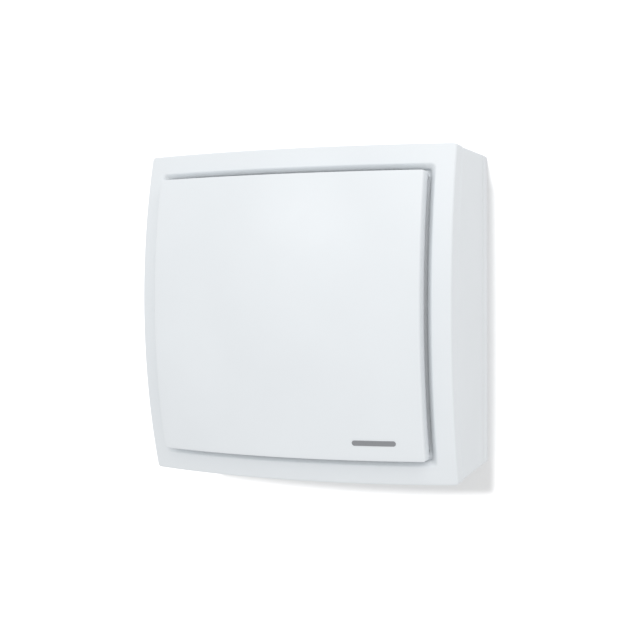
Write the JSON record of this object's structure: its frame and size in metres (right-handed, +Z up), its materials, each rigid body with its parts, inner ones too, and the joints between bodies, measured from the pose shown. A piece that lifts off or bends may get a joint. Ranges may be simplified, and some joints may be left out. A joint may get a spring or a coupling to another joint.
{
  "type": "heat recovery ventilation unit",
  "caption": "Square white wall unit for room ventilation with heat recovery: domed cover, raised pull-off panel with side air slots, fans, filters, exchanger and two rear duct spigots.",
  "frame": {"origin": "centre of the casing's square back face, on the wall plane", "axes": "+X to the viewer's right, +Y into the wall along the ducts, +Z up"},
  "size_m": [0.41, 0.2908, 0.41],
  "materials": {
    "case_white": "satin",
    "panel_white": "satin",
    "foam": "matte",
    "soft_rubber": "matte",
    "seal_foam": "matte",
    "exchanger_white": "satin",
    "exchanger_grey": "satin",
    "duct_grey": "satin",
    "flap_white": "satin",
    "steel": "satin",
    "actuator_blue": "satin",
    "fan_grey": "satin",
    "motor_metal": "satin",
    "impeller_black": "satin",
    "filter_frame_white": "satin",
    "filter_mat": "matte",
    "tray_grey": "satin",
    "box_grey": "satin",
    "board_green": "satin",
    "component_black": "satin",
    "terminal_green": "satin",
    "stud_plastic": "satin",
    "badge_grey": "satin",
    "light_pipe": "gloss"
  },
  "bodies": {
    "unit": {"mounting_tray": "case_white", "wall_gaskets": "seal_foam", "cable_grommet": "soft_rubber", "housing_shell": "case_white", "case_screws": "steel", "front_cover": "case_white", "cover_grille": "case_white", "cover_screws": "steel", "divider_seal": "seal_foam", "panel_sockets": "stud_plastic", "insulation_rear": "foam", "insulation_front": "foam", "exchanger_frame": "exchanger_grey", "exchanger_plates": "exchanger_white", "exchanger_seals": "soft_rubber", "exhaust_spigot": "duct_grey", "outdoor_spigot": "duct_grey", "flap_actuators": "actuator_blue", "supply_fan_housing": "fan_grey", "exhaust_fan_housing": "fan_grey", "fan_inlet_rings": "fan_grey", "supply_fan_motor": "motor_metal", "exhaust_fan_motor": "motor_metal", "condensate_tray": "tray_grey", "drain_tube": "tray_grey", "electronics_box": "box_grey", "electronics_lid": "box_grey", "lid_screws": "steel", "circuit_board": "board_green", "board_components": "component_black", "terminal_block": "terminal_green", "terminal_screws": "steel", "status_lights": "light_pipe", "air_sensors": "stud_plastic", "sensor_clips": "component_black"},
    "panel": {"front_panel": "panel_white", "panel_studs": "stud_plastic", "badge": "badge_grey"},
    "extract_filter": {"extract_filter_frame": "filter_frame_white", "extract_filter_media": "filter_mat"},
    "outdoor_filter": {"outdoor_filter_frame": "filter_frame_white", "outdoor_filter_media": "filter_mat"},
    "supply_rotor": {"supply_impeller": "impeller_black", "supply_fan_shaft": "steel"},
    "exhaust_rotor": {"exhaust_impeller": "impeller_black", "exhaust_fan_shaft": "steel"},
    "exhaust_damper": {"exhaust_flap": "flap_white", "exhaust_flap_shaft": "steel", "exhaust_flap_seal": "soft_rubber"},
    "outdoor_damper": {"outdoor_flap": "flap_white", "outdoor_flap_shaft": "steel", "outdoor_flap_seal": "soft_rubber"},
    "button": {"mode_button": "panel_white"}
  },
  "joints": [
    {"name": "panel_pull", "type": "slide", "parent": "unit", "child": "panel", "axis": [0, -1, 0], "range_m": [0, 0.24]},
    {"name": "extract_filter_pull", "type": "slide", "parent": "unit", "child": "extract_filter", "axis": [0, -1, 0], "range_m": [0, 0.132]},
    {"name": "outdoor_filter_pull", "type": "slide", "parent": "unit", "child": "outdoor_filter", "axis": [0, -1, 0], "range_m": [0, 0.132]},
    {"name": "supply_fan_spin", "type": "hinge", "parent": "unit", "child": "supply_rotor", "pos_m": [-0.128, -0.118, 0.105], "axis": [0, 1, 0], "continuous": true},
    {"name": "exhaust_fan_spin", "type": "hinge", "parent": "unit", "child": "exhaust_rotor", "pos_m": [-0.128, -0.093, -0.105], "axis": [0, 1, 0], "continuous": true},
    {"name": "exhaust_flap_turn", "type": "hinge", "parent": "unit", "child": "exhaust_damper", "pos_m": [-0.11, -0.021, -0.11], "axis": [0, 0, 1], "range_deg": [0, 90]},
    {"name": "outdoor_flap_turn", "type": "hinge", "parent": "unit", "child": "outdoor_damper", "pos_m": [0.11, -0.021, -0.11], "axis": [0, 0, 1], "range_deg": [0, 90]},
    {"name": "button_press", "type": "slide", "parent": "unit", "child": "button", "axis": [0, 1, 0], "range_m": [0, 0.0012], "stiffness_N_per_m": 600}
  ],
  "couplings": [
    {"joint": "extract_filter_pull", "follows": "panel_pull", "ratio": 0.55},
    {"joint": "outdoor_filter_pull", "follows": "panel_pull", "ratio": 0.55},
    {"joint": "outdoor_flap_turn", "follows": "exhaust_flap_turn", "ratio": 1}
  ]
}
